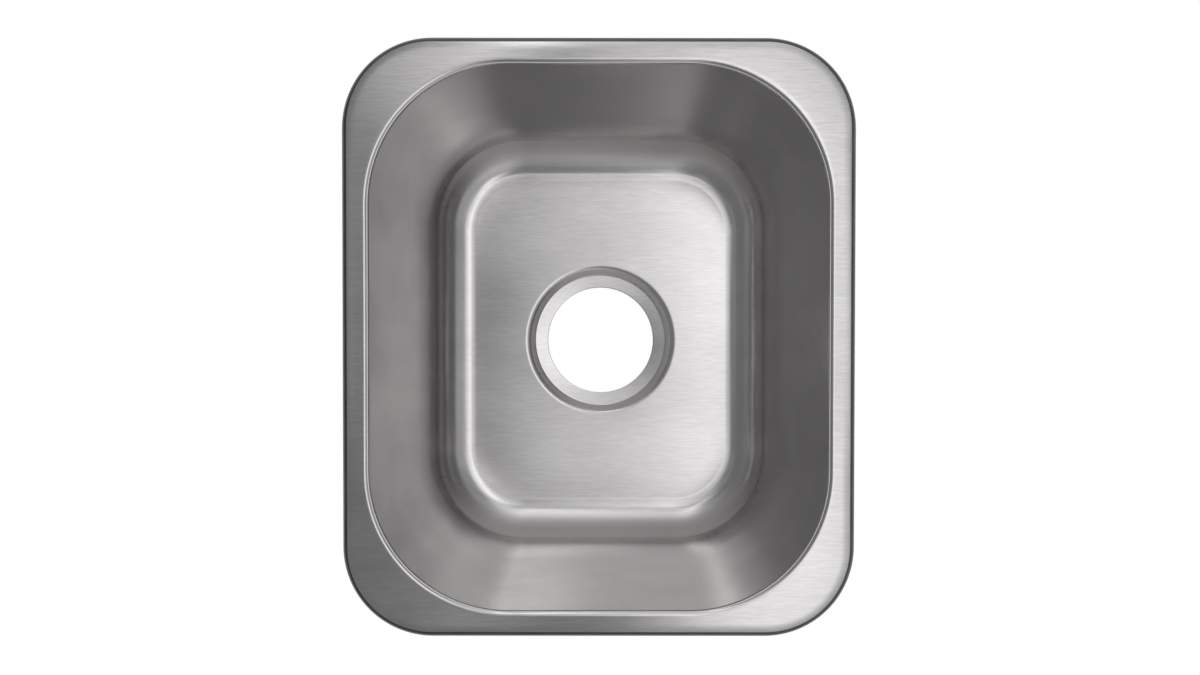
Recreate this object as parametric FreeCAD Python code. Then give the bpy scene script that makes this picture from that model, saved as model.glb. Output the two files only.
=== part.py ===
import FreeCAD, Part
import math
import os
from FreeCAD import Vector, Rotation, Placement

# Drop-in bar sink, millimetres, +Z up. The origin is the centre of the counter
# cut-out on the counter's top, so the rim stands above Z = 0 and the bowl hangs
# below it. Front is -Y, rear +Y, left -X, right +X.

# Drawn sheet
SHEET = 1.2
RIM_WIDTH = 324.0
RIM_LENGTH = 378.0
RIM_CORNER = 57.0
RIM_HEIGHT = 5.0
LIP_BEND = 3.0
CUTOUT_OVERHANG = 6.0

# Bowl: the walls' sharp meeting lines with the rim's top and with the floor
MOUTH_HALF_X = 145.2
MOUTH_HALF_Y = 172.4
MOUTH_CORNER = 88.0
MOUTH_BEND = 4.0
BOWL_DEPTH = 152.0
BASE_HALF_X = 130.0
BASE_HALF_Y = 159.0
BASE_CORNER = 68.0
FLOOR_FILLET = 27.0

# Drain seat, pressed down around a standard 3-1/2 inch hole and dished towards it
DRAIN_HOLE = 45.0
SEAT_RADIUS = 55.8
SEAT_SLOPE = math.radians(7.0)
RECESS_RADIUS = 60.8
RECESS_DEPTH = 7.5
RECESS_SHOULDER = 3.0
RECESS_FOOT = 2.0

# Rubber strip under the rim
SEAL_FROM_LIP = 1.8
SEAL_WIDTH = 4.2

# Mounting rails: lipped channels on the bowl's outside, slot downwards
RAIL_SHEET = 1.0
RAIL_BEND = 0.5
RAIL_TOP = -2.0
RAIL_BOTTOM = -11.0
RAIL_FROM_CUTOUT = 0.8
RAIL_SLOT = 4.6
SIDE_RAIL_LENGTH = 160.0
END_RAIL_LENGTH = 112.0

# Hold-down clips: T bolt, claw, washer and nut
BOLT_RADIUS = 2.0
BOLT_END = -61.0
BOLT_CHAMFER = 0.5
HEAD_WIDTH = 6.4
HEAD_LENGTH = 12.0
HEAD_HEIGHT = 2.6
HEAD_CORNER = 1.6
HEAD_CHAMFER = 0.4
CLAW_TOP = -41.0
CLAW_SHEET = 2.0
CLAW_WIDTH = 9.0
CLAW_REACH = 27.0
CLAW_TOOTH_TOP = -30.6
CLAW_BEND = 2.0
CLAW_HOLE = 2.4
RIB_RADIUS = 1.7
RIB_FROM = 8.5
RIB_TO = 20.5
TOOTH_DEPTH = 2.6
TEETH = 3
WASHER_RADIUS = 4.5
WASHER_SHEET = 0.8
WASHER_HOLE = 2.25
NUT_FLATS = 7.0
NUT_HEIGHT = 3.2
NUT_HOLE = 2.06
NUT_CHAMFER = 0.5
CLIP_PLAY = 0.05
SIDE_CLIP_AT = 48.0

# Sound pads
PAD_SHEET = 3.5
PAD_TOP = -66.0
PAD_HEIGHT = 54.0
PAD_CORNER = 9.0
SIDE_PAD_WIDTH = 132.0
END_PAD_WIDTH = 96.0
BASE_PAD_WIDTH = 176.0
BASE_PAD_INNER = 50.0
BASE_PAD_OUTER = 128.0
BASE_PAD_DRAIN_GAP = 8.0

RIM_TOP = RIM_HEIGHT
RIM_UNDER = RIM_TOP - SHEET
FLOOR = RIM_TOP - BOWL_DEPTH
FLOOR_UNDER = FLOOR - SHEET
SEAT = FLOOR - RECESS_DEPTH
HEAD_SEAT = RAIL_BOTTOM + RAIL_SHEET + CLIP_PLAY
HEAD_TOP = HEAD_SEAT + HEAD_HEIGHT
DRAFT_X = math.atan2(MOUTH_HALF_X - BASE_HALF_X, BOWL_DEPTH)
DRAFT_Y = math.atan2(MOUTH_HALF_Y - BASE_HALF_Y, BOWL_DEPTH)
UP = Vector(0, 0, 1)


def unit(v):
    return Vector(v).normalize()


def rounded_wire(points, radii):
    """Closed wire through planar points, each corner rounded to its own radius."""
    ends = []
    for i, p in enumerate(points):
        back = unit(points[i - 1] - p)
        ahead = unit(points[(i + 1) % len(points)] - p)
        half = back.getAngle(ahead) / 2
        run = radii[i] / math.tan(half)
        crown = unit(back + ahead) * (radii[i] / math.sin(half) - radii[i])
        ends.append((p + back * run, p + crown, p + ahead * run))
    edges = []
    for i, (start, middle, finish) in enumerate(ends):
        if radii[i] > 0:
            edges.append(Part.Arc(start, middle, finish).toShape())
        following = ends[(i + 1) % len(ends)][0]
        if finish.distanceToPoint(following) > 1e-6:
            edges.append(Part.makeLine(finish, following))
    return Part.Wire(edges)


def rounded_rectangle(half_x, half_y, corner, z):
    corners = [(-1, -1), (1, -1), (1, 1), (-1, 1)]
    points = [Vector(half_x * i, half_y * j, z) for i, j in corners]
    return rounded_wire(points, [corner] * 4)


def prism(wire, along):
    return Part.Face(wire).extrude(along)


def normals_at(path):
    """Unit normals to the right of a path, before and after each of its points."""
    normals = []
    for (u0, w0), (u1, w1) in zip(path, path[1:]):
        length = math.hypot(u1 - u0, w1 - w0)
        normals.append(((w1 - w0) / length, (u0 - u1) / length))
    return list(zip(normals[:1] + normals, normals + normals[-1:]))


def offset_path(path, distance):
    """Path moved to its right by a distance, with mitred corners."""
    moved = []
    for (u, w), (before, after) in zip(path, normals_at(path)):
        mitre = distance / (1 + before[0] * after[0] + before[1] * after[1])
        moved.append((u + mitre * (before[0] + after[0]), w + mitre * (before[1] + after[1])))
    return moved


def sheet_wire(path, thickness, bend, place):
    """Outline of bent sheet whose outer face follows path; the metal lies on its right."""
    outer = [place(u, w) for u, w in path]
    inner = [place(u, w) for u, w in offset_path(path, thickness)]
    outer_radii, inner_radii = [0], [0]
    for before, after in normals_at(path)[1:-1]:
        turns_right = before[0] * after[1] - before[1] * after[0] < 0
        outer_radii.append(bend + thickness if turns_right else bend)
        inner_radii.append(bend if turns_right else bend + thickness)
    outer_radii.append(0)
    inner_radii.append(0)
    return rounded_wire(outer + inner[::-1], outer_radii + inner_radii[::-1])


def flat_edges(shape, z):
    """Edges lying wholly in the plane at height z."""
    def lies_flat(edge):
        box = edge.BoundBox
        return abs(box.ZMin - z) < 1e-4 and abs(box.ZMax - z) < 1e-4

    return [e for e in shape.Edges if lies_flat(e)]


def bowl_form(grow, floor, fillet):
    """Tapered bowl with its floor edge rounded; grow moves the walls outwards."""
    def section(z):
        share = (RIM_TOP - z) / BOWL_DEPTH
        half_x = MOUTH_HALF_X + (BASE_HALF_X - MOUTH_HALF_X) * share + grow / math.cos(DRAFT_X)
        half_y = MOUTH_HALF_Y + (BASE_HALF_Y - MOUTH_HALF_Y) * share + grow / math.cos(DRAFT_Y)
        corner = MOUTH_CORNER + (BASE_CORNER - MOUTH_CORNER) * share + grow
        return rounded_rectangle(half_x, half_y, corner, z)

    form = Part.makeLoft([section(RIM_TOP), section(floor)], True, True)
    return form.makeFillet(fillet, flat_edges(form, floor))


def drain_form(drop):
    """Solid of the drain recess; drop moves its skin outwards and downwards by one sheet."""
    rise = math.tan(SEAT_SLOPE)
    well = DRAIN_HOLE / 2
    flare = RECESS_RADIUS + 2 * RECESS_SHOULDER
    skin = offset_path([
        (well, SEAT + (well - DRAIN_HOLE) * rise),
        (SEAT_RADIUS, SEAT + (SEAT_RADIUS - DRAIN_HOLE) * rise),
        (RECESS_RADIUS, FLOOR),
        (flare, FLOOR),
    ], drop)
    lid = FLOOR + SHEET
    outline = [(0, lid), (0, skin[0][1])] + skin + [(flare, lid)]
    radii = [0, 0, 0, RECESS_FOOT + drop, RECESS_SHOULDER - drop, 0, 0]
    wire = rounded_wire([Vector(r, 0, z) for r, z in outline], radii)
    return Part.Face(wire).revolve(Vector(0, 0, 0), UP, 360)


def mouth_edges(shape, z):
    """Flat edges at height z that run round the bowl's mouth, inside the rim's own outline."""
    reach_x = MOUTH_HALF_X + 2 * SHEET
    reach_y = MOUTH_HALF_Y + 2 * SHEET

    def is_near(box):
        return max(-box.XMin, box.XMax) < reach_x and max(-box.YMin, box.YMax) < reach_y

    return [e for e in flat_edges(shape, z) if is_near(e.BoundBox)]


def make_sink_shell():
    half_x, half_y = RIM_WIDTH / 2, RIM_LENGTH / 2
    plate = prism(rounded_rectangle(half_x, half_y, RIM_CORNER, 0), UP * RIM_TOP)
    plate = plate.makeFillet(LIP_BEND, flat_edges(plate, RIM_TOP))
    hollow_wire = rounded_rectangle(half_x - SHEET, half_y - SHEET, RIM_CORNER - SHEET, 0)
    hollow = prism(hollow_wire, UP * RIM_UNDER)
    hollow = hollow.makeFillet(LIP_BEND - SHEET, flat_edges(hollow, RIM_UNDER))
    rim = plate.cut(hollow)

    body = rim.fuse(bowl_form(SHEET, FLOOR_UNDER, FLOOR_FILLET + SHEET)).removeSplitter()
    body = body.makeFillet(MOUTH_BEND - SHEET, mouth_edges(body, RIM_UNDER))
    body = body.fuse(drain_form(SHEET))
    body = body.cut(bowl_form(0, FLOOR, FLOOR_FILLET))
    body = body.cut(drain_form(0))
    hole_foot = Vector(0, 0, SEAT - BOWL_DEPTH / 2)
    body = body.cut(Part.makeCylinder(DRAIN_HOLE, BOWL_DEPTH, hole_foot, UP))
    return body.makeFillet(MOUTH_BEND, mouth_edges(body, RIM_TOP))


class Side:
    """One side of the bowl, drawn as if it faced +X and then turned about Z."""

    def __init__(self, mouth, draft, rim, turn):
        self.mouth = mouth
        self.draft = draft
        self.turn = turn
        self.rail_outer = rim - CUTOUT_OVERHANG - RAIL_FROM_CUTOUT
        web = self.wall(HEAD_TOP) + RAIL_SHEET / math.cos(draft)
        self.bolt_line = (web + self.rail_outer - RAIL_SHEET) / 2

    def wall(self, z):
        """Distance of the bowl's outer wall from the middle at height z."""
        return self.mouth + SHEET / math.cos(self.draft) - (RIM_TOP - z) * math.tan(self.draft)

    def place(self, shape, along=0):
        """Slide a shape along this side, then turn it to the side's direction."""
        moved = shape.copy()
        moved.translate(Vector(0, along, 0))
        moved.rotate(Vector(0, 0, 0), UP, self.turn)
        return moved


SIDES = {
    "right": Side(MOUTH_HALF_X, DRAFT_X, RIM_WIDTH / 2, 0),
    "rear": Side(MOUTH_HALF_Y, DRAFT_Y, RIM_LENGTH / 2, 90),
    "left": Side(MOUTH_HALF_X, DRAFT_X, RIM_WIDTH / 2, 180),
    "front": Side(MOUTH_HALF_Y, DRAFT_Y, RIM_LENGTH / 2, 270),
}


def make_rim_seal():
    inset = SHEET + SEAL_FROM_LIP

    def outline(by):
        return rounded_rectangle(RIM_WIDTH / 2 - by, RIM_LENGTH / 2 - by, RIM_CORNER - by, 0)

    outside = prism(outline(inset), UP * RIM_UNDER)
    return outside.cut(prism(outline(inset + SEAL_WIDTH), UP * RIM_UNDER))


def make_rail(side, length):
    """Lipped channel whose back web lies on the tapered wall."""
    path = [
        (side.bolt_line - RAIL_SLOT / 2, RAIL_BOTTOM),
        (side.wall(RAIL_BOTTOM), RAIL_BOTTOM),
        (side.wall(RAIL_TOP), RAIL_TOP),
        (side.rail_outer, RAIL_TOP),
        (side.rail_outer, RAIL_BOTTOM),
        (side.bolt_line + RAIL_SLOT / 2, RAIL_BOTTOM),
    ]
    wire = sheet_wire(path, RAIL_SHEET, RAIL_BEND, lambda u, w: Vector(u, -length / 2, w))
    return side.place(prism(wire, Vector(0, length, 0)))


def make_bolt(side, along):
    """T bolt: oblong head in the channel, plain shank down to a chamfered end."""
    x = side.bolt_line
    corner = Vector(x - HEAD_WIDTH / 2, -HEAD_LENGTH / 2, HEAD_SEAT)
    head = Part.makeBox(HEAD_WIDTH, HEAD_LENGTH, HEAD_HEIGHT, corner)
    uprights = [e for e in head.Edges if e.BoundBox.ZLength > HEAD_HEIGHT / 2]
    head = head.makeFillet(HEAD_CORNER, uprights)
    head = head.makeChamfer(HEAD_CHAMFER, flat_edges(head, HEAD_TOP))
    shank_length = HEAD_SEAT + HEAD_HEIGHT / 2 - BOLT_END
    shank = Part.makeCylinder(BOLT_RADIUS, shank_length, Vector(x, 0, BOLT_END), UP)
    shank = shank.makeChamfer(BOLT_CHAMFER, flat_edges(shank, BOLT_END))
    return side.place(head.fuse(shank).removeSplitter(), along)


def make_claw(side, along, points_to):
    """Stamped strip with a round heel on the bolt and a toothed, turned-up end."""
    x = side.bolt_line
    half = CLAW_WIDTH / 2
    base = CLAW_TOP - CLAW_SHEET
    path = [(CLAW_REACH, CLAW_TOOTH_TOP), (CLAW_REACH, base), (-half, base)]
    strip = prism(sheet_wire(path, CLAW_SHEET, CLAW_BEND, lambda u, w: Vector(x - half, u, w)),
                  Vector(CLAW_WIDTH, 0, 0))
    height = CLAW_TOOTH_TOP - base
    plan = Part.makeCylinder(half, height, Vector(x, 0, base), UP)
    plan = plan.fuse(Part.makeBox(CLAW_WIDTH, CLAW_REACH, height, Vector(x - half, 0, base)))
    rib_start = Vector(x, RIB_FROM, CLAW_TOP)
    rib = Part.makeCylinder(RIB_RADIUS, RIB_TO - RIB_FROM, rib_start, Vector(0, 1, 0))
    for end in (RIB_FROM, RIB_TO):
        rib = rib.fuse(Part.makeSphere(RIB_RADIUS, Vector(x, end, CLAW_TOP)))
    sheet_middle = Vector(x - half, 0, CLAW_TOP - CLAW_SHEET / 2)
    above = Part.makeBox(CLAW_WIDTH, CLAW_REACH, height, sheet_middle)
    claw = strip.common(plan).fuse(rib.common(above))
    groove = rib.copy()
    groove.translate(Vector(0, 0, -CLAW_SHEET))
    claw = claw.cut(groove)
    pitch = CLAW_WIDTH / TEETH
    for i in range(1, TEETH):
        valley = x - half + i * pitch
        notch = [Vector(valley, 0, CLAW_TOOTH_TOP - TOOTH_DEPTH),
                 Vector(valley + pitch / 2, 0, CLAW_TOOTH_TOP),
                 Vector(valley - pitch / 2, 0, CLAW_TOOTH_TOP)]
        claw = claw.cut(prism(Part.makePolygon(notch + notch[:1]), Vector(0, CLAW_REACH, 0)))
    for edge_side in (-1, 1):
        corner = x + edge_side * half
        bevel = [Vector(corner, 0, CLAW_TOOTH_TOP - TOOTH_DEPTH),
                 Vector(corner, 0, CLAW_TOOTH_TOP),
                 Vector(corner - edge_side * pitch / 2, 0, CLAW_TOOTH_TOP)]
        claw = claw.cut(prism(Part.makePolygon(bevel + bevel[:1]), Vector(0, CLAW_REACH, 0)))
    claw = claw.cut(Part.makeCylinder(CLAW_HOLE, height, Vector(x, 0, base - height / 2), UP))
    if points_to < 0:
        claw.rotate(Vector(x, 0, 0), UP, 180)
    return side.place(claw, along)


def make_washer(side, along):
    top = CLAW_TOP - CLAW_SHEET - CLIP_PLAY
    foot = Vector(side.bolt_line, 0, top - WASHER_SHEET)
    ring = Part.makeCylinder(WASHER_RADIUS, WASHER_SHEET, foot, UP)
    return side.place(ring.cut(Part.makeCylinder(WASHER_HOLE, WASHER_SHEET, foot, UP)), along)


def make_nut(side, along):
    """Hexagon nut with both ends' corners turned off and its bore countersunk."""
    top = CLAW_TOP - CLAW_SHEET - WASHER_SHEET - 2 * CLIP_PLAY
    foot = Vector(side.bolt_line, 0, top - NUT_HEIGHT)
    corner = NUT_FLATS / math.sqrt(3)
    points = [foot + Rotation(UP, 60 * i).multVec(Vector(corner, 0, 0)) for i in range(7)]
    hexagon = prism(Part.makePolygon(points), UP * NUT_HEIGHT)
    round_blank = Part.makeCylinder(corner, NUT_HEIGHT, foot, UP)
    round_blank = round_blank.makeChamfer(NUT_CHAMFER, [e for e in round_blank.Edges if e.Closed])
    nut = hexagon.common(round_blank)
    nut = nut.cut(Part.makeCylinder(NUT_HOLE, NUT_HEIGHT, foot, UP))
    for height, near, far in ((0, NUT_CHAMFER, 0), (NUT_HEIGHT - NUT_CHAMFER, 0, NUT_CHAMFER)):
        sink = Part.makeCone(NUT_HOLE + near, NUT_HOLE + far, NUT_CHAMFER, foot + UP * height, UP)
        nut = nut.cut(sink)
    return side.place(nut, along)


def make_wall_pad(side, width):
    """Rubber pad lying flat on the tapered wall."""
    half = width / 2
    foot = -PAD_HEIGHT
    points = [Vector(0, -half, foot), Vector(0, half, foot), Vector(0, half, 0), Vector(0, -half, 0)]
    pad = prism(rounded_wire(points, [PAD_CORNER] * 4), Vector(PAD_SHEET, 0, 0))
    face_edges = [e for e in pad.Edges if e.BoundBox.XMin > PAD_SHEET - 1e-4]
    pad = pad.makeFillet(PAD_SHEET / 3, face_edges)
    lean = Rotation(Vector(0, 1, 0), math.degrees(side.draft))
    pad.Placement = Placement(Vector(side.wall(PAD_TOP), 0, PAD_TOP), lean)
    return side.place(pad)


def make_base_pad(toward):
    """Rubber pad under the floor, hollowed to go round the drain recess."""
    half = BASE_PAD_WIDTH / 2
    low = FLOOR_UNDER - PAD_SHEET
    points = [Vector(-half, BASE_PAD_INNER, low), Vector(half, BASE_PAD_INNER, low),
              Vector(half, BASE_PAD_OUTER, low), Vector(-half, BASE_PAD_OUTER, low)]
    pad = prism(rounded_wire(points, [PAD_CORNER] * 4), UP * PAD_SHEET)
    clear = RECESS_RADIUS + RECESS_SHOULDER + BASE_PAD_DRAIN_GAP
    pad = pad.cut(Part.makeCylinder(clear, 2 * PAD_SHEET, Vector(0, 0, low - PAD_SHEET / 2), UP))
    pad = pad.makeFillet(PAD_SHEET / 3, flat_edges(pad, low))
    if toward < 0:
        pad.rotate(Vector(0, 0, 0), UP, 180)
    return pad


nodes = {"sink_shell": make_sink_shell(), "rim_seal": make_rim_seal()}

for name, side in SIDES.items():
    on_long_side = name in ("left", "right")
    nodes[name + "_rail"] = make_rail(side, SIDE_RAIL_LENGTH if on_long_side else END_RAIL_LENGTH)
    nodes[name + "_wall_pad"] = make_wall_pad(side, SIDE_PAD_WIDTH if on_long_side else END_PAD_WIDTH)

nodes["front_base_pad"] = make_base_pad(-1)
nodes["rear_base_pad"] = make_base_pad(1)

# Clips: the side they hang on, their place along it and the way the claw is stowed
CLIPS = {
    "right_front_clip": ("right", -SIDE_CLIP_AT, -1),
    "right_rear_clip": ("right", SIDE_CLIP_AT, 1),
    "rear_clip": ("rear", 0.0, 1),
    "left_rear_clip": ("left", -SIDE_CLIP_AT, -1),
    "left_front_clip": ("left", SIDE_CLIP_AT, 1),
    "front_clip": ("front", 0.0, 1),
}

for name, (side_name, along, points_to) in CLIPS.items():
    side = SIDES[side_name]
    nodes[name + "_bolt"] = make_bolt(side, along)
    nodes[name + "_claw"] = make_claw(side, along, points_to)
    nodes[name + "_washer"] = make_washer(side, along)
    nodes[name + "_nut"] = make_nut(side, along)

os.makedirs("parts", exist_ok=True)
for name, shape in nodes.items():
    shape.exportStep("parts/" + name + ".step")
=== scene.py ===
import math

import bpy
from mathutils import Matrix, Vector


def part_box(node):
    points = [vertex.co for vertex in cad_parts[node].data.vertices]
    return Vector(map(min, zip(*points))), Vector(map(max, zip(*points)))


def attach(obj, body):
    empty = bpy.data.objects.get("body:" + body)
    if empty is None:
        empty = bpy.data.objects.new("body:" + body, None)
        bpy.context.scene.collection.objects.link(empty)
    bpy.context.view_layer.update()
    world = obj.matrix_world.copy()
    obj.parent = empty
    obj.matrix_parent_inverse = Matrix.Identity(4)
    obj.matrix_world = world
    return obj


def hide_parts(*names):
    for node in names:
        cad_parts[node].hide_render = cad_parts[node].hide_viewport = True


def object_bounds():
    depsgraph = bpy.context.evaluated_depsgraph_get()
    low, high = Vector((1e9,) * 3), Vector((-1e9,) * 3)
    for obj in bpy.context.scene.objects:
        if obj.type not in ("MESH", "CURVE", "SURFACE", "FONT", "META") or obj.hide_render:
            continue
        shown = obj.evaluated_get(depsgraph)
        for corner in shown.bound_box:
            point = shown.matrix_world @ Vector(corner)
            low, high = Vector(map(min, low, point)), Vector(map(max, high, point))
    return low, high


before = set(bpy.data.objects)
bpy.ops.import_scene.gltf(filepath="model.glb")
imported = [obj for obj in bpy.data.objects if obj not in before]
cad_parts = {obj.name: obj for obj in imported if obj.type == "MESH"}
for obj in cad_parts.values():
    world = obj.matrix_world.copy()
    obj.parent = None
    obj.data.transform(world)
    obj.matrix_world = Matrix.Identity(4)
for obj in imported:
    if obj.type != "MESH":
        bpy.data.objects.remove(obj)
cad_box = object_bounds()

# Drop-in bar sink. Sizes are in millimetres here and become metres where a mesh is made.
# The counter's top is Z = 0; front is -Y, right is +X.
MM = 0.001

# Drawn sheet
SHEET = 1.2
RIM = Vector((162.0, 189.0))
RIM_CORNER = 57.0
RIM_CENTRE = RIM - Vector((RIM_CORNER, RIM_CORNER))
RIM_TOP = 5.0
RIM_UNDER = RIM_TOP - SHEET
EDGE_WIDTH = 7.0
EDGE_FALL = 0.35
EDGE_SWEEP = 80.0
LIP_BEND = 4.0
MOUTH = Vector((145.2, 172.4))
MOUTH_CORNER = 88.0
MOUTH_BEND = 3.0
BASE = Vector((130.0, 159.0))
BASE_CORNER = 68.0
FLOOR = -147.0
FLOOR_UNDER = FLOOR - SHEET
WALL_SLOPE = [(MOUTH[i] - BASE[i]) / (RIM_TOP - FLOOR) for i in range(2)]
FLOOR_FILLET = 27.0
FLOOR_INSET = 29.0
CUT_EDGE = 0.3

# Drain seat, dished towards its hole
DRAIN_HOLE = 45.0
SEAT = -154.5
SEAT_RADIUS = 55.8
SEAT_SLOPE = math.radians(7.0)
RECESS_RADIUS = 60.8
RECESS_SHOULDER = 6.0
RECESS_FOOT = 2.0
RECESS_FLAT = 67.0

# Surface of the sheet: depth of its brush lines, and of the drawn walls' slight waves, in metres
BRUSH_DEPTH = 0.00001
WAVE_DEPTH = 0.0003

# Rings round the sheet: points on half a straight side and on a corner, and where rings lie
# between the floor's flat and the drain
HALF_SIDE_POINTS = 10
CORNER_POINTS = 28
FLAT_SHARES = (0.25, 0.5, 0.75)
# Rows that hold a bend's shading: how far from the bend, and the largest share of a run
HOLD = 0.5
HOLD_SHARE = 0.2
# Steps round each corner of a small rounded rectangle
LOOP_STEPS = 8

# Sealing strip
SEAL_OUTER = 3.0
SEAL_INNER = 7.2
SEAL_ROUND = 1.1

# Clips' bolts; a bolt's tip starts at a share of its radius and widens by a share per millimetre
CLIPS = ("left_front_clip", "left_rear_clip", "right_front_clip", "right_rear_clip",
         "front_clip", "rear_clip")
BOLT_RADIUS = 2.0
BOLT_POINTS = 20
BOLT_END = -61.0
TIP_START = 0.62
TIP_WIDENING = 0.5
THREAD_DEPTH = 0.42
THREAD_PITCH = 0.7
THREAD_ROWS = 5
HEAD_FOOT = -9.95
HEAD_TOP = -7.35
HEAD = Vector((3.2, 6.0))
HEAD_CORNER = 1.6
HEAD_CHAMFER = 0.4
HEAD_ROUND = 0.25

# Sound pads; edges are given as inset and depth below the face
PAD_SHEET = 3.5
PAD_STUD = 0.5
PAD_EDGE = ((0, 0.9), (0.25, 0.3), (0.9, 0))
PAD_TOP = -66.0
PAD_HEIGHT = 54.0
PAD_CORNER = 9.0
STUD_PITCH = 6.0
STUD_SIZE = 4.2
STUD_CORNER = 0.7
STUD_EDGE = ((-0.35, PAD_STUD + 0.05), (0, 0.15), (0.2, 0))
STUD_MARGIN = 3.4
SIDE_PAD_WIDTH = 132.0
END_PAD_WIDTH = 96.0
BASE_PAD = Vector((88.0, 50.0))
BASE_PAD_OUTER = 128.0
BASE_PAD_CLEAR = 71.8
BASE_PAD_STEPS = 24


# Meshes

def bent_profile(corners, radii, arc_steps, run_steps):
    """Points along a bent line as (across, height, place).

    place counts corners: 1.0 is anywhere on corner 1's bend, 1.5 half-way to corner 2's.
    """
    points = [Vector(c) for c in corners]
    bends = []
    for i, p in enumerate(points):
        if radii[i] == 0:
            bends.append([p])
            continue
        back = (points[i - 1] - p).normalized()
        ahead = (points[i + 1] - p).normalized()
        half = back.angle(ahead) / 2
        centre = p + (back + ahead).normalized() * (radii[i] / math.sin(half))
        start = p + back * (radii[i] / math.tan(half)) - centre
        turn = math.pi - 2 * half
        if start.cross(p - centre) < 0:
            turn = -turn
        arc = []
        for k in range(arc_steps[i] + 1):
            a = turn * k / arc_steps[i]
            arc.append(centre + Vector((start.x * math.cos(a) - start.y * math.sin(a),
                                        start.x * math.sin(a) + start.y * math.cos(a))))
        bends.append(arc)
    line = []
    for i, bend in enumerate(bends):
        line += [(q.x, q.y, float(i)) for q in bend]
        if i + 1 < len(bends):
            begin, end = bend[-1], bends[i + 1][0]
            hold = min(HOLD / max((end - begin).length, HOLD), HOLD_SHARE)
            steps = run_steps[i]
            shares = [hold + (1 - 2 * hold) * k / steps for k in range(steps + 1)] if steps else []
            for t in shares:
                q = begin.lerp(end, t)
                line.append((q.x, q.y, i + t))
    return line


def mitre(before, corner, after, distance):
    """Where a bent line's corner comes to when the line moves to its left by a distance."""
    a = (corner - before).normalized()
    b = (after - corner).normalized()
    return corner + Vector((-a.y - b.y, a.x + b.x)) * (distance / (1 + a.dot(b)))


def blend_list(values, place):
    i = min(int(place), len(values) - 2)
    return values[i].lerp(values[i + 1], place - i)


def round_quarter(quarter):
    """A whole ring from its first quarter, which runs from the X axis to the Y axis."""
    back = quarter[::-1]
    ring = list(quarter)
    ring += [Vector((-p.x, p.y, p.z)) for p in back[1:]]
    ring += [Vector((-p.x, -p.y, p.z)) for p in quarter[1:]]
    ring += [Vector((p.x, -p.y, p.z)) for p in back[1:-1]]
    return ring


def sheet_ring(half_x, z_x, half_y, z_y, centre):
    """One ring round the sink; its heights at the sides and at the ends may differ a little."""
    quarter = []
    for k in range(HALF_SIDE_POINTS):
        quarter.append(Vector((half_x, centre.y * k / HALF_SIDE_POINTS, z_x)))
    for k in range(CORNER_POINTS + 1):
        a = math.pi / 2 * k / CORNER_POINTS
        height = z_x + (z_y - z_x) * math.sin(a) ** 2
        quarter.append(Vector((centre.x + (half_x - centre.x) * math.cos(a),
                               centre.y + (half_y - centre.y) * math.sin(a), height)))
    for k in range(HALF_SIDE_POINTS - 1, -1, -1):
        quarter.append(Vector((centre.x * k / HALF_SIDE_POINTS, half_y, z_y)))
    return round_quarter(quarter)


def sheet_rings(over_sides, over_ends, centres):
    """Rings along two bent lines, one over the sides and one over the ends."""
    rings = []
    for (x, z_x, place), (y, z_y, _) in zip(over_sides, over_ends):
        rings.append(sheet_ring(x, z_x, y, z_y, blend_list(centres, place)))
    return rings


class Form:
    """Points and faces of one piece, gathered in millimetres."""

    def __init__(self):
        self.points = []
        self.faces = []
        self.finishes = []

    def skin(self, rings, closed=False, caps=False, finish_of_row=None):
        """Cover rings of equal length with quads, row by row."""
        count, first = len(rings[0]), len(self.points)
        self.points += [p for ring in rings for p in ring]
        rows = len(rings) if closed else len(rings) - 1
        for i in range(rows):
            a, b = first + i * count, first + (i + 1) % len(rings) * count
            for k in range(count):
                n = (k + 1) % count
                self.faces.append((a + k, a + n, b + n, b + k))
                self.finishes.append(finish_of_row(i) if finish_of_row else 0)
        if caps:
            last = first + (len(rings) - 1) * count
            self.faces.append(tuple(range(first + count - 1, first - 1, -1)))
            self.faces.append(tuple(range(last, last + count)))
            self.finishes += [0, 0]

    def move(self, place):
        self.points = [place(p) for p in self.points]

    def make(self, name, node, body, slot, finishes, crease=None):
        """Make the piece that stands for a CAD node, smooth but for edges over crease degrees."""
        mesh = bpy.data.meshes.new(name)
        mesh.from_pydata([p * MM for p in self.points], [], self.faces)
        mesh.update()
        mesh.polygons.foreach_set("use_smooth", [True] * len(mesh.polygons))
        mesh.polygons.foreach_set("material_index", self.finishes)
        for finish in finishes:
            mesh.materials.append(finish)
        if crease:
            mesh.set_sharp_from_angle(angle=math.radians(crease))
        piece = bpy.data.objects.new(name, mesh)
        bpy.context.scene.collection.objects.link(piece)
        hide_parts(node)
        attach(piece, body)


QUARTER_TURNS = {"right": (1, 0), "rear": (0, 1), "left": (-1, 0), "front": (0, -1)}


def turned(p, side):
    """A point drawn for the right-hand side, turned to another side by quarter turns."""
    c, s = QUARTER_TURNS[side]
    return Vector((c * p.x - s * p.y, s * p.x + c * p.y, p.z))


def rounded_loop(half_x, half_y, corner, z, steps=LOOP_STEPS):
    """Flat ring round a rounded rectangle, counter-clockwise."""
    loop = []
    for i, (sx, sy) in enumerate(((1, 1), (-1, 1), (-1, -1), (1, -1))):
        for k in range(steps + 1):
            a = math.pi / 2 * (i + k / steps)
            loop.append(Vector((sx * (half_x - corner) + corner * math.cos(a),
                                sy * (half_y - corner) + corner * math.sin(a), z)))
    return loop


# Finishes

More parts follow.
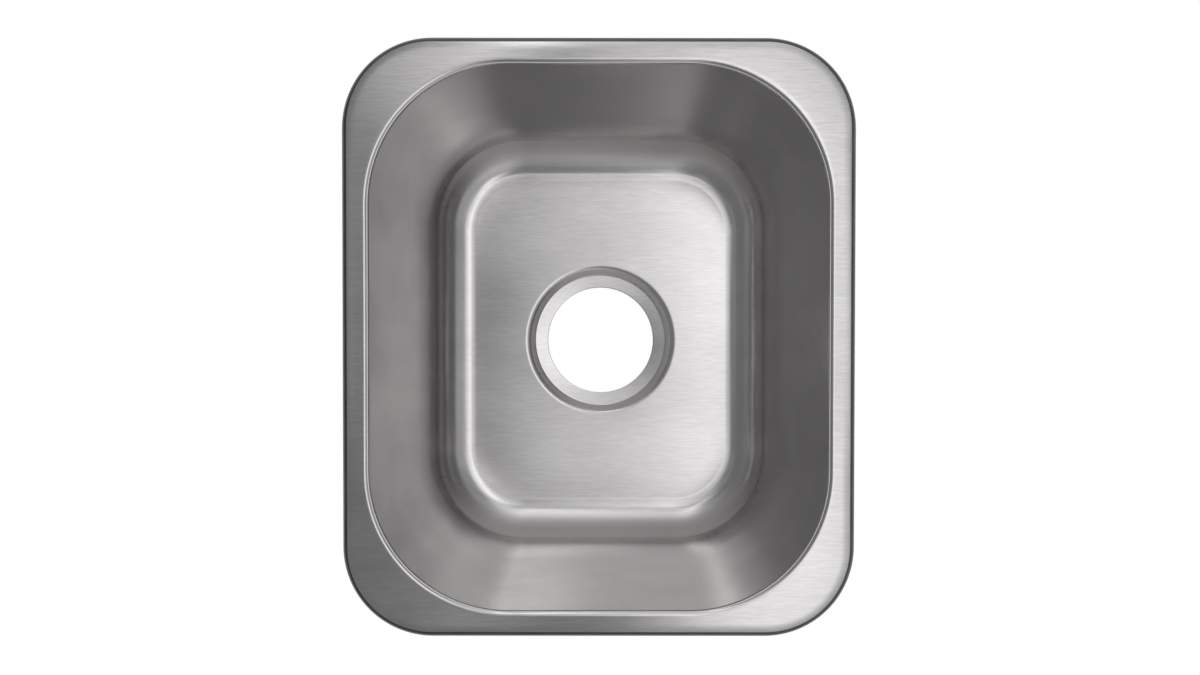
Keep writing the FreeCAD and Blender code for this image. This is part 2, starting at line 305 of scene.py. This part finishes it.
class Value:
    """A shader value. Arithmetic on it, with numbers or other values, adds Math nodes."""

    def __init__(self, nodes, socket):
        self.nodes = nodes
        self.socket = socket

    def math(self, operation, *terms):
        return self.nodes.add("ShaderNodeMath", {"operation": operation}, dict(enumerate(terms)))

    def __add__(self, other):
        return self.math("ADD", self, other)

    def __radd__(self, other):
        return self.math("ADD", other, self)

    def __sub__(self, other):
        return self.math("SUBTRACT", self, other)

    def __rsub__(self, other):
        return self.math("SUBTRACT", other, self)

    def __mul__(self, other):
        return self.math("MULTIPLY", self, other)

    def __rmul__(self, other):
        return self.math("MULTIPLY", other, self)

    def __truediv__(self, other):
        return self.math("DIVIDE", self, other)

    def __rtruediv__(self, other):
        return self.math("DIVIDE", other, self)

    def __abs__(self):
        return self.math("ABSOLUTE", self)

    def ease(self, low, high):
        """0 below low, 1 above high, and smooth between them."""
        sockets = {"Value": self, "From Min": low, "From Max": high}
        return self.nodes.add("ShaderNodeMapRange", {"interpolation_type": "SMOOTHSTEP"}, sockets)


class Nodes:
    """The node tree of a finish or of the surroundings."""

    def __init__(self, tree):
        self.tree = tree

    def add(self, kind, settings=None, sockets=None, output=0):
        """Add a node: its settings first, then the values or links of its sockets."""
        node = self.tree.nodes.new(kind)
        for key, value in (settings or {}).items():
            setattr(node, key, value)
        for key, value in (sockets or {}).items():
            if isinstance(value, Value):
                self.tree.links.new(value.socket, node.inputs[key])
            else:
                node.inputs[key].default_value = value
        return Value(self, node.outputs[output])

    def stretched(self, vector, factors):
        return self.add("ShaderNodeVectorMath", {"operation": "MULTIPLY"}, {0: vector, 1: factors})

    def noise(self, vector, scale=1.0, detail=2.0):
        sockets = {"Vector": vector, "Scale": scale, "Detail": detail}
        return self.add("ShaderNodeTexNoise", None, sockets)

    def mix_colour(self, share, first, second):
        sockets = {0: share, 6: first, 7: second}
        return self.add("ShaderNodeMix", {"data_type": "RGBA"}, sockets, 2)

    def axis(self, vector, name):
        return self.add("ShaderNodeSeparateXYZ", None, {"Vector": vector}, name)


class Finish(Nodes):
    """A material with one Principled shader; even values are set on the shader itself."""

    def __init__(self, name, **even):
        self.material = bpy.data.materials.new(name)
        self.material.use_nodes = True
        super().__init__(self.material.node_tree)
        self.shader = self.tree.nodes["Principled BSDF"]
        for key, value in even.items():
            self.shader.inputs[key.replace("_", " ")].default_value = value

    def place(self):
        return self.add("ShaderNodeTexCoord", None, None, "Object")

    def facing(self):
        return self.add("ShaderNodeNewGeometry", None, None, "Normal")

    def feed(self, socket, value):
        self.tree.links.new(value.socket, self.shader.inputs[socket])

    def relief(self, height, depth):
        """Surface relief of the given depth in metres."""
        bump = self.add("ShaderNodeBump", None, {"Height": height, "Distance": depth})
        self.feed("Normal", bump)


def brushed_inside():
    """Satin sheet, brushed from side to side before it was drawn, with smoother walls and painted
    light on the bends between the end walls and the floor.
    """
    steel = Finish("brushed_stainless", Metallic=1.0)
    at = steel.place()
    facing = steel.facing()
    level = abs(steel.axis(facing, "Z"))
    # Where the finish differs: flats, walls, and the bends between walls and floor, which at the
    # ends are rougher and also carry painted light
    on_flats = level.ease(0.75, 0.97)
    on_walls = 1 - level.ease(0.2, 0.45)
    off_sides = 1 - abs(steel.axis(facing, "X")).ease(0.15, 0.5)
    deep = 1 - steel.axis(at, "Z").ease(-0.123, -0.108)
    end_bends_rough_and_painted_light = abs(steel.axis(facing, "Y")).ease(0.2, 0.95) * level.ease(0.05, 0.12) * deep
    on_side_bends = abs(steel.axis(facing, "X")).ease(0.2, 0.6) * level.ease(0.1, 0.2) * deep
    lines = steel.noise(steel.stretched(at, (90.0, 900.0, 900.0)), detail=3.0)
    clouds = steel.noise(steel.stretched(at, (20.0, 45.0, 45.0)), detail=3.0)
    waves = steel.noise(at, scale=14.0, detail=1.0)
    tone = 0.5 + (lines - 0.5) * on_flats * 0.6 + (clouds - 0.5) * 0.5
    brushed = steel.mix_colour(tone, (0.495, 0.486, 0.485, 1), (0.765, 0.751, 0.749, 1))
    # Painted light: the bends between the end walls and the floor are coloured nearly white to
    # lift the shade there
    steel.feed("Base Color", steel.mix_colour(end_bends_rough_and_painted_light, brushed, (0.94, 0.925, 0.92, 1)))
    steel.feed("Roughness", 0.17 + clouds * 0.02 + on_walls * 0.02 + end_bends_rough_and_painted_light * 0.4
               + on_side_bends * 0.05)
    steel.relief(lines * off_sides * BRUSH_DEPTH + waves * on_walls * WAVE_DEPTH, 1.0)
    return steel.material


def lip_with_painted_dark_reflection():
    """Turned-down edge of the rim, its sides coloured dark as a painted reflection with random
    marks, and the rim's own tone where it faces up.
    """
    steel = Finish("lip_painted_dark_reflection_stainless", Metallic=1.0)
    at = steel.place()
    # Painted dark reflection: faces turned sideways get the dark colour, faces looking up get the
    # rim's tone
    level = steel.axis(steel.facing(), "Z").ease(0.992, 0.999)
    marks = steel.noise(steel.stretched(at, (60.0, 60.0, 900.0)), detail=3.0)
    dark = steel.mix_colour(marks, (0.08, 0.08, 0.08, 1), (0.16, 0.16, 0.157, 1))
    steel.feed("Base Color", steel.mix_colour(level, dark, (0.61, 0.605, 0.595, 1)))
    steel.feed("Roughness", 0.3 + marks * 0.1)
    steel.relief(marks, 0.00001)
    return steel.material


def drawn_outside():
    """Dull unbrushed sheet with faint marks from the drawing die."""
    steel = Finish("drawn_stainless", Metallic=1.0)
    at = steel.place()
    streaks = steel.noise(steel.stretched(at, (160.0, 160.0, 6.0)), detail=3.0)
    clouds = steel.noise(at, scale=22.0, detail=4.0)
    steel.feed("Base Color", steel.mix_colour(streaks * 0.5 + clouds * 0.5, (0.44, 0.44, 0.435, 1),
                                              (0.57, 0.565, 0.56, 1)))
    steel.feed("Roughness", 0.34 + clouds * 0.14)
    steel.relief(streaks, 0.00003)
    return steel.material


def rolled_rail():
    """Rolled channel, with lines along its length."""
    steel = Finish("rolled_rail_steel", Metallic=1.0)
    at = steel.place()
    lines = steel.noise(steel.stretched(at, (18.0, 18.0, 900.0)), detail=3.0)
    spots = steel.noise(at, scale=120.0, detail=3.0)
    steel.feed("Base Color", steel.mix_colour(lines * 0.5 + spots * 0.5, (0.46, 0.46, 0.455, 1),
                                              (0.6, 0.6, 0.59, 1)))
    steel.feed("Roughness", 0.28 + spots * 0.16)
    steel.relief(lines, 0.00002)
    return steel.material


def zinc_plate():
    """Bright zinc with the faint cloudy tint of its passivation."""
    zinc = Finish("zinc_plate", Metallic=1.0)
    at = zinc.place()
    clouds = zinc.noise(at, scale=260.0, detail=3.0)
    grain = zinc.noise(at, scale=2200.0, detail=2.0)
    zinc.feed("Base Color", zinc.mix_colour(clouds, (0.58, 0.61, 0.66, 1), (0.72, 0.7, 0.62, 1)))
    zinc.feed("Roughness", 0.24 + clouds * 0.16)
    zinc.relief(grain, 0.00001)
    return zinc.material


def pad_rubber():
    """Matt black rubber with a little bloom."""
    rubber = Finish("pad_rubber", Metallic=0.0)
    at = rubber.place()
    bloom = rubber.noise(at, scale=45.0, detail=4.0)
    grain = rubber.noise(at, scale=1400.0, detail=2.0)
    rubber.feed("Base Color", rubber.mix_colour(bloom, (0.022, 0.022, 0.023, 1),
                                                (0.06, 0.06, 0.062, 1)))
    rubber.feed("Roughness", 0.55 + bloom * 0.25)
    rubber.relief(grain, 0.00004)
    return rubber.material


def seal_foam():
    """Dark closed-cell strip."""
    foam = Finish("seal_foam", Metallic=0.0)
    at = foam.place()
    cells = foam.noise(at, scale=1700.0, detail=2.0)
    tone = foam.noise(at, scale=60.0, detail=3.0)
    foam.feed("Base Color", foam.mix_colour(tone, (0.05, 0.05, 0.051, 1), (0.1, 0.1, 0.102, 1)))
    foam.feed("Roughness", 0.75 + cells * 0.15)
    foam.relief(cells, 0.00008)
    return foam.material


# Pieces

def make_shell(lip, inside, outside):
    """Bowl, rim and drain seat as one closed sheet."""
    mouth_centre = MOUTH - Vector((MOUTH_CORNER, MOUTH_CORNER))
    base_centre = BASE - Vector((BASE_CORNER, BASE_CORNER))
    edge = SHEET / 2

    def upper(i):
        return [(RIM[i] - edge, 0), (RIM[i], 0), (RIM[i], RIM_TOP - EDGE_FALL),
                (RIM[i] - EDGE_WIDTH, RIM_TOP), (MOUTH[i], RIM_TOP), (BASE[i], FLOOR),
                (BASE[i] - FLOOR_INSET, FLOOR)]

    def lower(i):
        grow = SHEET / math.cos(math.atan(WALL_SLOPE[i])) - SHEET * WALL_SLOPE[i]
        return [(BASE[i] - FLOOR_INSET, FLOOR_UNDER), (BASE[i] + grow, FLOOR_UNDER),
                (MOUTH[i] + grow, RIM_UNDER), (RIM[i] - SHEET, RIM_UNDER), (RIM[i] - SHEET, 0),
                (RIM[i] - edge, 0)]

    over_bends = [0, CUT_EDGE, LIP_BEND, EDGE_SWEEP, MOUTH_BEND, FLOOR_FILLET, 0]
    over_lines = [bent_profile(upper(i), over_bends, arc_steps=[0, 3, 12, 6, 12, 20, 0],
                               run_steps=[0, 0, 0, 3, 12, 2]) for i in range(2)]
    over = sheet_rings(*over_lines, [RIM_CENTRE] * 4 + [mouth_centre] + [base_centre] * 2)
    lip_corner = over_bends.index(LIP_BEND)
    lip_rows = sum(1 for *_, place in over_lines[0] if place <= lip_corner) - 1
    under_bends = [0, FLOOR_FILLET + SHEET, MOUTH_BEND - SHEET, LIP_BEND - SHEET, CUT_EDGE, 0]
    under_lines = [bent_profile(lower(i), under_bends, arc_steps=[0, 14, 6, 5, 3, 0],
                                run_steps=[2, 10, 3, 0, 0]) for i in range(2)]
    under = sheet_rings(*under_lines, [base_centre] * 2 + [mouth_centre] + [RIM_CENTRE] * 3)

    flat = Vector((RECESS_FLAT, FLOOR))
    shoulder = Vector((RECESS_RADIUS, FLOOR))
    foot = Vector((SEAT_RADIUS, SEAT + (SEAT_RADIUS - DRAIN_HOLE) * math.tan(SEAT_SLOPE)))
    hole = Vector((DRAIN_HOLE, SEAT))
    drain_corners = [flat, shoulder, foot, hole,
                     (DRAIN_HOLE, SEAT - SHEET / math.cos(SEAT_SLOPE)),
                     mitre(shoulder, foot, hole, SHEET), mitre(flat, shoulder, foot, SHEET),
                     (RECESS_FLAT, FLOOR_UNDER)]
    drain_bends = [0, RECESS_SHOULDER, RECESS_FOOT, CUT_EDGE, CUT_EDGE, RECESS_FOOT + SHEET,
                   RECESS_SHOULDER - SHEET, 0]
    drain = bent_profile(drain_corners, drain_bends, arc_steps=[0, 8, 6, 3, 3, 6, 6, 0],
                         run_steps=[1, 2, 3, 0, 3, 2, 1])
    angles = [math.atan2(p.y, p.x) for p in over[-1]]
    rounds = [[Vector((r * math.cos(a), r * math.sin(a), z)) for a in angles] for r, z, _ in drain]

    def between(first, second):
        return [[p.lerp(q, t) for p, q in zip(first, second)] for t in FLAT_SHARES]

    rings = over + between(over[-1], rounds[0]) + rounds
    rings += between(rounds[-1], under[0]) + under[:-1]
    hole_corner = drain_corners.index(hole)
    drain_rows = sum(1 for *_, place in drain if place <= hole_corner)
    inside_rows = len(over) + len(FLAT_SHARES) + drain_rows

    # Rows of the turned-down edge take the finish with the painted dark reflection, then come the
    # inside and the outside
    def finish_of_row(row):
        if row < lip_rows:
            return 0
        return 1 if row < inside_rows else 2

    shell = Form()
    shell.skin(rings, closed=True, finish_of_row=finish_of_row)
    shell.make("sink_sheet", "sink_shell", "sink", "satin_stainless", [lip, inside, outside])


def make_seal(foam):
    """Sealing strip with a rounded lower face."""
    section = bent_profile(
        [(SEAL_INNER, RIM_UNDER), (SEAL_INNER, 0), (SEAL_OUTER, 0), (SEAL_OUTER, RIM_UNDER)],
        [0, SEAL_ROUND, SEAL_ROUND, 0], arc_steps=[0, 5, 5, 0], run_steps=[2, 2, 2])
    rings = [sheet_ring(RIM.x - inset, z, RIM.y - inset, z, RIM_CENTRE) for inset, z, _ in section]
    seal = Form()
    seal.skin(rings, closed=True)
    seal.make("rim_seal_strip", "rim_seal", "sink", "seal_rubber", [foam], crease=40)


def make_bolt(clip, zinc):
    """T bolt with a rolled thread down its shank."""
    node = clip + "_bolt"
    low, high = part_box(node)
    middle = (Vector(low) + Vector(high)) / (2 * MM)
    along_x = high[0] - low[0] > high[1] - low[1]
    rings = []
    rows = int((HEAD_FOOT - BOLT_END) / THREAD_PITCH * THREAD_ROWS)
    for row in range(rows + 1):
        z = BOLT_END + (HEAD_FOOT - BOLT_END) * row / rows
        tip = min(1.0, TIP_START + (z - BOLT_END) * TIP_WIDENING)
        ring = []
        for k in range(BOLT_POINTS):
            phase = (z / THREAD_PITCH - k / BOLT_POINTS) % 1.0
            r = (BOLT_RADIUS - THREAD_DEPTH * abs(2 * phase - 1)) * tip
            a = 2 * math.pi * k / BOLT_POINTS
            ring.append(Vector((middle.x + r * math.cos(a), middle.y + r * math.sin(a), z)))
        rings.append(ring)
    bolt = Form()
    bolt.skin(rings, caps=True)
    half = HEAD.yx if along_x else HEAD
    head_rings = []
    for inset, z in ((HEAD_ROUND, HEAD_FOOT), (0, HEAD_FOOT + HEAD_ROUND),
                     (0, HEAD_TOP - HEAD_CHAMFER), (HEAD_CHAMFER, HEAD_TOP)):
        loop = rounded_loop(half.x - inset, half.y - inset, HEAD_CORNER - inset, z)
        head_rings.append([p + Vector((middle.x, middle.y, 0)) for p in loop])
    bolt.skin(head_rings, caps=True)
    bolt.make(node + "_rolled", node, node, "zinc_plated_steel", [zinc], crease=50)


def inset_outline(outline, inset, z):
    """A closed outline moved inwards a little and lifted to height z."""
    moved = []
    for k, p in enumerate(outline):
        corner = mitre(outline[k - 1], p, outline[(k + 1) % len(outline)], inset)
        moved.append(Vector((*corner, z)))
    return moved


def pad_form(outline, holds_stud):
    """A pad lying on Z = 0: a sheet with rounded edges and rows of low studs."""
    face = PAD_SHEET - PAD_STUD
    side = [(0, 0)] + [(inset, face - depth) for inset, depth in PAD_EDGE]
    pad = Form()
    pad.skin([inset_outline(outline, inset, z) for inset, z in side], caps=True)
    reach = max(max(abs(p.x), abs(p.y)) for p in outline)
    count = int(reach / STUD_PITCH)
    stud = STUD_SIZE / 2
    for i in range(-count, count + 1):
        for j in range(-count, count + 1):
            middle = Vector((i * STUD_PITCH, j * STUD_PITCH, 0))
            if holds_stud(middle):
                rings = [rounded_loop(stud - inset, stud - inset, STUD_CORNER,
                                      PAD_SHEET - depth, steps=2) for inset, depth in STUD_EDGE]
                pad.skin([[p + middle for p in ring] for ring in rings], caps=True)
    return pad


def has_stud_room(p, half):
    """Whether a stud at p keeps its margin inside a pad's rounded rectangle."""
    x = max(abs(p.x) - half.x + PAD_CORNER, 0)
    y = max(abs(p.y) - half.y + PAD_CORNER, 0)
    return math.hypot(x, y) < PAD_CORNER - STUD_MARGIN


def make_wall_pad(side, width, rubber):
    """Pad lying flat against one of the leaning walls."""
    i = 0 if side in ("left", "right") else 1
    lean = math.atan(WALL_SLOPE[i])
    half = Vector((width / 2, PAD_HEIGHT / 2))
    top = MOUTH[i] + SHEET / math.cos(lean) - (RIM_TOP - PAD_TOP) * WALL_SLOPE[i]

    def holds_stud(p):
        return has_stud_room(p, half)

    def on_wall(p):
        down = p.y - half.y
        drawn = Vector((top + p.z * math.cos(lean) + down * math.sin(lean), p.x,
                        PAD_TOP + down * math.cos(lean) - p.z * math.sin(lean)))
        return turned(drawn, side)

    pad = pad_form([p.xy for p in rounded_loop(half.x, half.y, PAD_CORNER, 0)], holds_stud)
    pad.move(on_wall)
    node = side + "_wall_pad"
    pad.make(node + "_moulded", node, "sink", "pad_rubber", [rubber], crease=35)


def make_base_pad(side, rubber):
    """Pad under the floor, hollowed to go round the drain seat."""
    half = Vector((BASE_PAD.x, (BASE_PAD_OUTER - BASE_PAD.y) / 2))
    middle = Vector((0, BASE_PAD.y + half.y))
    outline = [p.xy + middle for p in rounded_loop(half.x, half.y, PAD_CORNER, 0)]
    tip = math.acos(BASE_PAD.y / BASE_PAD_CLEAR)
    hollow = []
    for k in range(BASE_PAD_STEPS + 1):
        a = tip - 2 * tip * k / BASE_PAD_STEPS
        hollow.append(Vector((-BASE_PAD_CLEAR * math.sin(a), BASE_PAD_CLEAR * math.cos(a))))
    last_corner = len(outline) - LOOP_STEPS - 1
    outline[last_corner:last_corner] = hollow

    def holds_stud(p):
        return p.length > BASE_PAD_CLEAR + STUD_MARGIN and has_stud_room(p.xy - middle, half)

    def under_floor(p):
        turn = 1 if side == "rear" else -1
        return Vector((-turn * p.x, turn * p.y, FLOOR_UNDER - p.z))

    pad = pad_form(outline, holds_stud)
    pad.move(under_floor)
    node = side + "_base_pad"
    pad.make(node + "_moulded", node, "sink", "pad_rubber", [rubber], crease=35)


# Build

lip = lip_with_painted_dark_reflection()
inside = brushed_inside()
outside = drawn_outside()
rail_steel = rolled_rail()
zinc = zinc_plate()
rubber = pad_rubber()
foam = seal_foam()

make_shell(lip, inside, outside)
make_seal(foam)
for side, width in (("left", SIDE_PAD_WIDTH), ("right", SIDE_PAD_WIDTH),
                    ("front", END_PAD_WIDTH), ("rear", END_PAD_WIDTH)):
    make_wall_pad(side, width, rubber)
make_base_pad("front", rubber)
make_base_pad("rear", rubber)

for clip in CLIPS:
    make_bolt(clip, zinc)

for name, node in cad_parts.items():
    for held in node.material_slots:
        held.material = rail_steel if name.endswith("_rail") else zinc


# Studio

# Floor: half its width in metres, its paint, how much of it is seen as white and how bright, and
# how far the shade under the drain fades beyond the hole
FLOOR_REACH = 30.0
FLOOR_COLOUR = 0.8
FLOOR_GLOW = 0.97
FLOOR_WHITE = 1.02
SHADE_EDGE = 1.1

# Sky: white low down, fading out between two heights, with an even light over the rest. Heights
# are sines of the angle above the floor.
SKY_LOW = 1.0
SKY_EDGE = (0.28, 0.4)
SKY_EVERYWHERE = 0.21
SKY_SOFTNESS = 0.04
# Dark card over the low white at the front left: where it fades towards the rear right, and the
# heights of its lower edge
CARD_ROUND = (-0.4, 0.3)
CARD_FOOT = (0.21, 0.24)
# Soft boxes overhead: from and to across, from and to towards the rear, in degrees from straight
# up, and brightness
SKY_BOXES = (
    (-3, 26, -16, 48, 0.11),
    (9, 26, -25, -16, 0.11),
    (-15, -7, 7, 66, 0.36),
    (3, 62, -66, 13, 0.24),
    (-15, -3, -13, 0, 0.16),
    (7, 15, -25, 25, 0.51),
    (-11, 0, 25, 66, 0.43),
    (-8, -5, 27, 66, 2.00),
    (-7, 26, 0, 19, 0.51),
    (-20, -7, 19, 25, 0.52),
    (15, 20, -25, -7, 1.00),
    (-44, 62, 31, 66, 0.14),
    (20, 62, 19, 25, 0.30),
    (0, 20, 13, 66, 0.40),
    (-7, 11, -13, -7, 0.65),
    (20, 34, -19, 0, 0.10),
    (-3, 44, -66, -38, 0.17),
    (-15, -7, -25, -19, 0.22),
    (-7, 26, -7, 0, 0.36),
    (7, 15, -25, -19, 0.44),
    (-26, -20, -7, 19, 0.13),
)


def mixed_shader(nodes, share, first, second):
    return nodes.add("ShaderNodeMixShader", None, {0: share, 1: first, 2: second})


def make_floor():
    """Floor: white to the eye and in the steel, shaded under the drain, and clear from below."""
    mesh = bpy.data.meshes.new("studio_floor")
    corners = [(x * FLOOR_REACH, y * FLOOR_REACH, cad_box[0][2])
               for x, y in ((-1, -1), (1, -1), (1, 1), (-1, 1))]
    mesh.from_pydata(corners, [], [(0, 1, 2, 3)])
    floor = bpy.data.objects.new("studio_floor", mesh)
    bpy.context.scene.collection.objects.link(floor)
    paint = Finish("studio_floor", Metallic=0.0, Roughness=0.9,
                   Base_Color=(FLOOR_COLOUR,) * 3 + (1,))
    seen = paint.add("ShaderNodeLightPath", None, None, "Is Camera Ray")
    mirrored = paint.add("ShaderNodeLightPath", None, None, "Is Glossy Ray")
    through = paint.add("ShaderNodeLightPath", None, None, "Is Transmission Ray")
    glow = paint.add("ShaderNodeEmission", None, {"Color": (1, 1, 1, 1), "Strength": FLOOR_WHITE})
    lit = Value(paint, paint.shader.outputs[0])
    across = paint.stretched(paint.place(), (1, 1, 0))
    away = paint.add("ShaderNodeVectorMath", {"operation": "LENGTH"}, {0: across}, "Value")
    off_drain = away.ease(DRAIN_HOLE * MM, SHADE_EDGE * DRAIN_HOLE * MM)
    shown = mixed_shader(paint, (seen + (mirrored + through) * off_drain) * FLOOR_GLOW, lit, glow)
    below = paint.add("ShaderNodeNewGeometry", None, None, "Backfacing")
    clear = paint.add("ShaderNodeBsdfTransparent")
    shown = mixed_shader(paint, below, shown, clear)
    paint.tree.links.new(shown.socket, paint.tree.nodes["Material Output"].inputs["Surface"])
    mesh.materials.append(paint.material)


def make_sky():
    """Soft light from overhead, and white low down, with a dark card over part of the white."""
    world = bpy.data.worlds.new("studio_sky")
    world.use_nodes = True
    bpy.context.scene.world = world
    sky = Nodes(world.node_tree)
    way = sky.add("ShaderNodeTexCoord", None, None, "Generated")
    up = sky.axis(way, "Z")
    across = sky.axis(way, "X") / up
    along = sky.axis(way, "Y") / up

    def beyond(direction, degrees):
        edge = math.tan(math.radians(degrees))
        return direction.ease(edge - SKY_SOFTNESS, edge + SKY_SOFTNESS)

    to_rear_right = sky.axis(way, "X") + sky.axis(way, "Y")
    card = (1 - to_rear_right.ease(*CARD_ROUND)) * up.ease(*CARD_FOOT)
    low = (1 - up.ease(*SKY_EDGE)) * (1 - card)
    light = SKY_EVERYWHERE + low * (SKY_LOW - SKY_EVERYWHERE)
    for x_from, x_to, y_from, y_to, brightness in SKY_BOXES:
        width = beyond(across, x_from) - beyond(across, x_to)
        depth = beyond(along, y_from) - beyond(along, y_to)
        light = light + width * depth * brightness
    sky.tree.links.new(light.socket, sky.tree.nodes["Background"].inputs["Color"])


make_floor()
make_sky()

# Nearly straight above the bowl, as in the photograph
camera = bpy.data.cameras.new("camera")
camera.lens = 20.6
camera.sensor_width = 36.0
camera.shift_x = -0.0046
camera.shift_y = 0.0123
camera.clip_start = 0.01
holder = bpy.data.objects.new("camera", camera)
holder.location = (0.00386, -0.00385, 0.43587)
holder.rotation_euler = (math.radians(-0.655), math.radians(-0.045), math.radians(0.048))
bpy.context.scene.collection.objects.link(holder)
bpy.context.scene.camera = holder

bpy.context.scene.view_settings.view_transform = "Standard"
